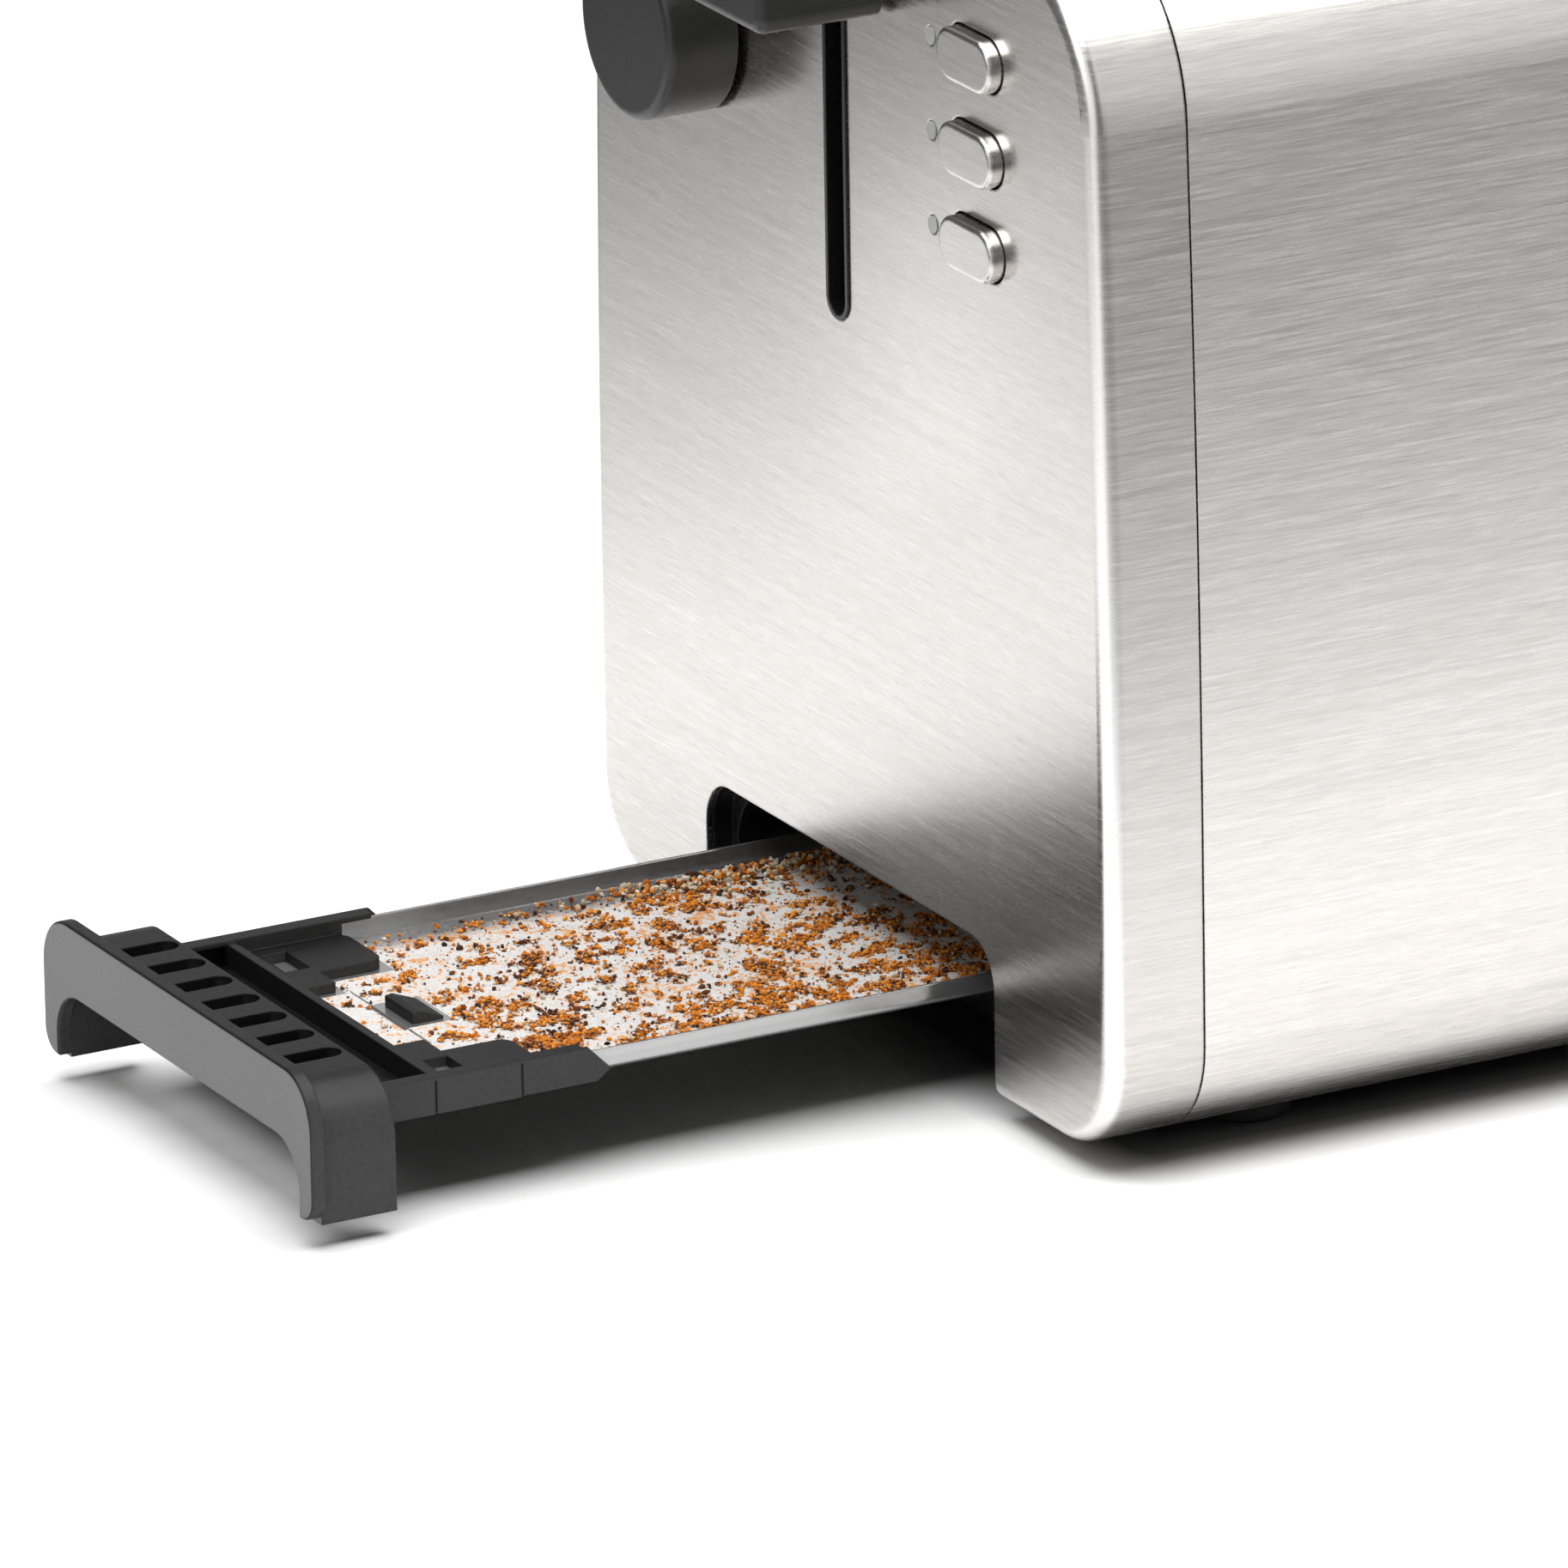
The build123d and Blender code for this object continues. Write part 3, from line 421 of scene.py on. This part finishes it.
def blob(bm, rnd, x, y, r, flat, mat, lift, big):
    """One irregular crumb, about r in radius, standing on the pan floor."""
    a = rnd.uniform(0, 6.283)
    ex, ey, ez = r * rnd.uniform(0.8, 1.5), r * rnd.uniform(0.55, 0.95), r * flat * rnd.uniform(0.7, 1.3)
    c, s = math.cos(a), math.sin(a)
    pts = []
    for p in (ICO if big else OCT):
        j = 1 + rnd.uniform(-0.32, 0.32)
        px, py, pz = p[0] * ex * j, p[1] * ey * j, p[2] * ez * (1 + rnd.uniform(-0.25, 0.25))
        pts.append((px * c - py * s, px * s + py * c, pz))
    zmin = min(q[2] for q in pts)
    top = 2.5
    vs = [bm.verts.new(((x + q[0]) * MM, (y + q[1]) * MM, (base_z(x, y) + min(top, lift + q[2] - zmin * 0.97)) * MM)) for q in pts]
    for f in (ICO_F if big else OCT_F):
        fc = bm.faces.new([vs[i] for i in f])
        fc.material_index = mat


_t = (1 + 5 ** 0.5) / 2
_n = (1 + _t * _t) ** 0.5
ICO = [(a / _n, b / _n, c / _n) for a, b, c in (
    (-1, _t, 0), (1, _t, 0), (-1, -_t, 0), (1, -_t, 0), (0, -1, _t), (0, 1, _t), (0, -1, -_t), (0, 1, -_t),
    (_t, 0, -1), (_t, 0, 1), (-_t, 0, -1), (-_t, 0, 1))]
ICO_F = [(0, 11, 5), (0, 5, 1), (0, 1, 7), (0, 7, 10), (0, 10, 11), (1, 5, 9), (5, 11, 4), (11, 10, 2), (10, 7, 6),
         (7, 1, 8), (3, 9, 4), (3, 4, 2), (3, 2, 6), (3, 6, 8), (3, 8, 9), (4, 9, 5), (2, 4, 11), (6, 2, 10),
         (8, 6, 7), (9, 8, 1)]
OCT = [(1, 0, 0), (-1, 0, 0), (0, 1, 0), (0, -1, 0), (0, 0, 1), (0, 0, -1)]
OCT_F = [(0, 2, 4), (2, 1, 4), (1, 3, 4), (3, 0, 4), (2, 0, 5), (1, 2, 5), (3, 1, 5), (0, 3, 5)]


def make_crumbs():
    rnd = random.Random(7411)
    bm = bmesh.new()

    def ok(x, y, r):
        return PX0 + r < x < PX1 - r and abs(y) < PHW - r and not covered(x, y, r)

    # flakes: ragged patches of toasted crumb, browned and burnt at random
    for _ in range(1080):
        cx, cy = rnd.uniform(PX0, PX1), rnd.uniform(-PHW, PHW)
        if rnd.random() < 0.16:
            cy = rnd.uniform(-PHW, -PHW * 0.45)
        if rnd.random() > density(cx):
            continue
        size = rnd.choice((0.6, 0.8, 1.1, 1.5, 2.1))
        ang = rnd.uniform(0, 3.14)
        ca, sa = math.cos(ang), math.sin(ang)
        dark = rnd.random() < 0.22
        for _ in range(int(13 * size * size + 4)):
            u, v = rnd.gauss(0, size * 0.75), rnd.gauss(0, size * 0.42)
            x, y = cx + u * ca - v * sa, cy + u * sa + v * ca
            r = rnd.uniform(0.18, 0.46) * (1.25 if rnd.random() < 0.1 else 1.0)
            if not ok(x, y, r):
                continue
            mat = rnd.choices((0, 1, 2), (0.34, 0.60, 0.06) if dark else (0.76, 0.18, 0.06))[0]
            blob(bm, rnd, x, y, r, rnd.uniform(0.4, 0.8), mat, rnd.uniform(0, 0.3), r > 0.36)
    # loose crumbs and specks
    for _ in range(11000):
        x, y = rnd.uniform(PX0, PX1), rnd.uniform(-PHW, PHW)
        if rnd.random() > density(x):
            continue
        r = rnd.choice((0.10, 0.12, 0.14, 0.17, 0.2, 0.25, 0.32, 0.42)) * rnd.uniform(0.8, 1.2)
        if not ok(x, y, r):
            continue
        mat = rnd.choices((0, 1, 2), (0.48, 0.30, 0.22))[0]
        blob(bm, rnd, x, y, r, rnd.uniform(0.5, 0.95), mat, 0.0, r > 0.36)
    # bread grains heaped along the far wall by the opening
    for _ in range(1500):
        x = rnd.uniform(PX1 - 150, PX1 - 60) + rnd.gauss(0, 12)
        y = PHW - abs(rnd.gauss(0, 5.0)) - 0.4
        r = rnd.uniform(0.2, 0.65)
        if ok(x, y, r):
            blob(bm, rnd, x, y, r, rnd.uniform(0.7, 1.0), rnd.choices((0, 1, 2), (0.35, 0.25, 0.40))[0],
                 rnd.uniform(0, 0.5), r > 0.36)
    me = bpy.data.meshes.new("toast_crumbs")
    bm.normal_update()
    bm.to_mesh(me)
    bm.free()
    me.materials.append(crumb_material("crumb_toasted", [(0.10, (0.18, 0.040, 0.002)), (0.40, (0.50, 0.138, 0.004)),
                                                         (0.75, (0.74, 0.270, 0.018))]))
    me.materials.append(crumb_material("crumb_burnt", [(0.2, (0.014, 0.006, 0.002)), (0.8, (0.19, 0.048, 0.004))]))
    me.materials.append(crumb_material("crumb_pale", [(0.2, (0.52, 0.38, 0.20)), (0.8, (0.70, 0.66, 0.56))]))
    o = bpy.data.objects.new("toast_crumbs", me)
    scene.collection.objects.link(o)
    o.visible_glossy = False
    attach(o, "crumb_tray")


def make_dust_and_reflection():
    """Pale bread flour on the pan floor: a very thin uneven sheet with its own specks. Its pale colour is also a
    painted reflection, standing in for the polished floor's reflection of the white backdrop; glossy rays don't see
    the sheet.
    """
    bm = bmesh.new()
    rnd = random.Random(99)
    step = 1.0
    nx, ny = int((PX1 - PX0) / step), int(2 * PHW / step)
    grid = {}
    for i in range(nx + 1):
        for j in range(ny + 1):
            x, y = PX0 + (PX1 - PX0) * i / nx, -PHW + 2 * PHW * j / ny
            grid[i, j] = bm.verts.new((x * MM, y * MM, (base_z(x, y) + 0.04 + rnd.uniform(0, 0.06)) * MM))
    for i in range(nx):
        for j in range(ny):
            x, y = PX0 + (PX1 - PX0) * (i + 0.5) / nx, -PHW + 2 * PHW * (j + 0.5) / ny
            if covered(x, y, 0.3):
                continue
            bm.faces.new((grid[i, j], grid[i + 1, j], grid[i + 1, j + 1], grid[i, j + 1]))
    for v in [v for v in bm.verts if not v.link_faces]:
        bm.verts.remove(v)
    me = bpy.data.meshes.new("bread_dust_and_painted_reflection")
    bm.to_mesh(me)
    bm.free()
    k = Mat("bread_dust_and_painted_reflection")
    k.set(rough=0.85, spec=0.3)
    fine = k.noise(k.coords((2600, 2600, 2600)), 1.0, 2.0, 0.6)
    mid = k.noise(k.coords((700, 700, 700), (5, 2, 1)), 1.0, 3.0, 0.62)
    big = k.noise(k.coords((120, 120, 120), (2, 8, 3)), 1.0, 3.0, 0.6)
    # the pale base colour is both bread dust and a painted reflection of the white backdrop in the pan floor
    base = k.ramp(mid, [(0.35, (0.53, 0.52, 0.505)), (0.65, (0.64, 0.632, 0.62))])
    tan = k.mapr(k.math("ADD", k.math("MULTIPLY", mid, 0.6), k.math("MULTIPLY", big, 0.4)), 0.53, 0.58, 0.0, 0.85)
    speck = k.mapr(fine, 0.66, 0.70, 0.0, 1.0)
    col = k.mix(tan, base, (0.60, 0.24, 0.035))
    col = k.mix(speck, col, (0.10, 0.030, 0.006))
    k.l(col, k.b.inputs["Base Color"])
    # thinner beside the walls, where the bare steel shows
    tc = k.n("ShaderNodeTexCoord")
    sp = k.n("ShaderNodeSeparateXYZ")
    k.l(tc.outputs["Object"], sp.inputs[0])
    edge = k.mapr(sp.outputs[1], (PHW - 9.0) * MM, (PHW - 1.0) * MM, 1.0, 0.0)
    near = k.mapr(sp.outputs[1], -PHW * MM, (-PHW + 1.0) * MM, 0.4, 1.0)
    cover = k.math("MULTIPLY", k.mapr(k.math("MULTIPLY", edge, near), 0.0, 1.0, -0.25, 1.25), 1.0)
    a = k.math("ADD", cover, k.mapr(mid, 0.3, 0.7, -0.30, 0.30), clamp=True)
    k.l(a, k.b.inputs["Alpha"])
    k.bump(mid, 0.4, 0.0001)
    me.materials.append(k.m)
    o = bpy.data.objects.new("bread_dust_and_painted_reflection", me)
    scene.collection.objects.link(o)
    o.visible_glossy = False
    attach(o, "crumb_tray")


make_crumbs()
make_dust_and_reflection()

# ------------------------------------------------------------------ floor, light, world
fl = bpy.data.meshes.new("floor")
bm = bmesh.new()
vs = [bm.verts.new((x, y, 0)) for x, y in ((-3, -3), (3, -3), (3, 3), (-3, 3))]
bm.faces.new(vs)
bm.to_mesh(fl)
bm.free()
floor = bpy.data.objects.new("floor", fl)
scene.collection.objects.link(floor)
k = Mat("floor")
k.set(rough=0.7, spec=0.15)
w = k.noise(k.coords((2, 2, 2)), 1.0, 1.0, 0.5)
tc = k.n("ShaderNodeTexCoord")
sp = k.n("ShaderNodeSeparateXYZ")
k.l(tc.outputs["Object"], sp.inputs[0])
# painted contact shadow: the floor is painted darker where the casing stands almost on it
cx = k.math("MAXIMUM", k.math("SUBTRACT", k.math("ABSOLUTE", sp.outputs[0]), 0.144), 0.0)
cy = k.math("MAXIMUM", k.math("SUBTRACT", k.math("ABSOLUTE", sp.outputs[1]), 0.074), 0.0)
contact_shadow_dist = k.math("SQRT", k.math("ADD", k.math("MULTIPLY", cx, cx), k.math("MULTIPLY", cy, cy)))
painted_contact_shadow = k.mapr(contact_shadow_dist, 0.003, 0.019, 0.16, 1.0)
contact_shadow_and_tone = k.math("MULTIPLY", painted_contact_shadow, k.mapr(w, 0.3, 0.7, 0.995, 1.005))
k.l(k.mix(1.0, (0.93, 0.93, 0.93), contact_shadow_and_tone, "MULTIPLY"), k.b.inputs["Base Color"])
dx = k.math("MAXIMUM", k.math("SUBTRACT", k.math("ABSOLUTE", k.math("ADD", sp.outputs[0], 0.14)), 0.31), 0.0)
front = k.math("SUBTRACT", k.math("MULTIPLY", sp.outputs[1], -1.0), 0.09)
rear = k.math("MULTIPLY", k.math("SUBTRACT", sp.outputs[1], 0.09), 0.90)
dy = k.math("MAXIMUM", k.math("MAXIMUM", front, rear), 0.0)
r = k.math("SQRT", k.math("ADD", k.math("MULTIPLY", dx, dx), k.math("MULTIPLY", dy, dy)))
k.l(k.mapr(r, FADE[0], FADE[1], 1.0, 0.0), k.b.inputs["Alpha"])
fl.materials.append(k.m)


def area(name, loc, target, size, power, size_y=None, color=(1, 1, 1), spread=180):
    d = bpy.data.lights.new(name, "AREA")
    d.shape = "RECTANGLE"
    d.size, d.size_y = size, size_y or size
    d.energy = power
    d.color = color
    d.spread = math.radians(spread)
    o = bpy.data.objects.new(name, d)
    scene.collection.objects.link(o)
    o.location = loc
    o.rotation_mode = "QUATERNION"
    o.rotation_quaternion = (Vector(target) - Vector(loc)).to_track_quat("-Z", "Y")
    o.visible_camera = False
    return o


area("top_softbox", (-0.12, -0.02, 1.00), (-0.12, -0.02, 0), 1.35, 24.5, 1.15)

strip = area("gloss_strip", (-0.270, 0.163, 0.062), (-0.16, -0.045, 0.062), 0.020, 0.0032, 0.06)
area("left_fill", (-1.0, -0.15, 0.62), (-0.20, 0.0, 0.02), 0.5, 1.5)
strip.visible_diffuse = False

# The backdrop is white. Only a soft bank behind on the right and a weaker one in front are seen in the gloss.
world = bpy.data.worlds.new("world")
scene.world = world
world.use_nodes = True
t = world.node_tree
t.nodes.clear()


def wn(kind, **props):
    nd = t.nodes.new(kind)
    for kk, vv in props.items():
        setattr(nd, kk, vv)
    return nd


def wmath(op, a, b, clamp=False):
    nd = wn("ShaderNodeMath", operation=op, use_clamp=clamp)
    for ii, vv in enumerate((a, b)):
        if isinstance(vv, (int, float)):
            nd.inputs[ii].default_value = vv
        else:
            t.links.new(vv, nd.inputs[ii])
    return nd.outputs[0]


wo = wn("ShaderNodeOutputWorld")
lp = wn("ShaderNodeLightPath")
tc = wn("ShaderNodeTexCoord")
total = GLOSS
for az, el, lo_, hi_, gain in BANKS:
    c = (math.cos(math.radians(el)) * math.cos(math.radians(az)),
         math.cos(math.radians(el)) * math.sin(math.radians(az)), math.sin(math.radians(el)))
    dot = wn("ShaderNodeVectorMath", operation="DOT_PRODUCT")
    t.links.new(tc.outputs["Generated"], dot.inputs[0])
    dot.inputs[1].default_value = c
    mr = wn("ShaderNodeMapRange", interpolation_type="SMOOTHSTEP")
    for ii, vv in zip(range(1, 5), (math.cos(math.radians(hi_)), math.cos(math.radians(lo_)), 0.0, gain)):
        mr.inputs[ii].default_value = vv
    t.links.new(dot.outputs["Value"], mr.inputs[0])
    total = wmath("ADD", mr.outputs[0], total)
gl = wmath("MULTIPLY", total, lp.outputs["Is Glossy Ray"])
df = wmath("MULTIPLY", wmath("SUBTRACT", 1.0, lp.outputs["Is Glossy Ray"]), AMBIENT)
other = wmath("ADD", gl, df)
bg1, bg2, mixs = wn("ShaderNodeBackground"), wn("ShaderNodeBackground"), wn("ShaderNodeMixShader")
t.links.new(other, bg1.inputs[1])
bg1.inputs[0].default_value = (1, 1, 1, 1)
bg2.inputs[0].default_value = (1, 1, 1, 1)
bg2.inputs[1].default_value = 1.05
t.links.new(lp.outputs["Is Camera Ray"], mixs.inputs[0])
t.links.new(bg1.outputs[0], mixs.inputs[1])
t.links.new(bg2.outputs[0], mixs.inputs[2])
t.links.new(mixs.outputs[0], wo.inputs["Surface"])
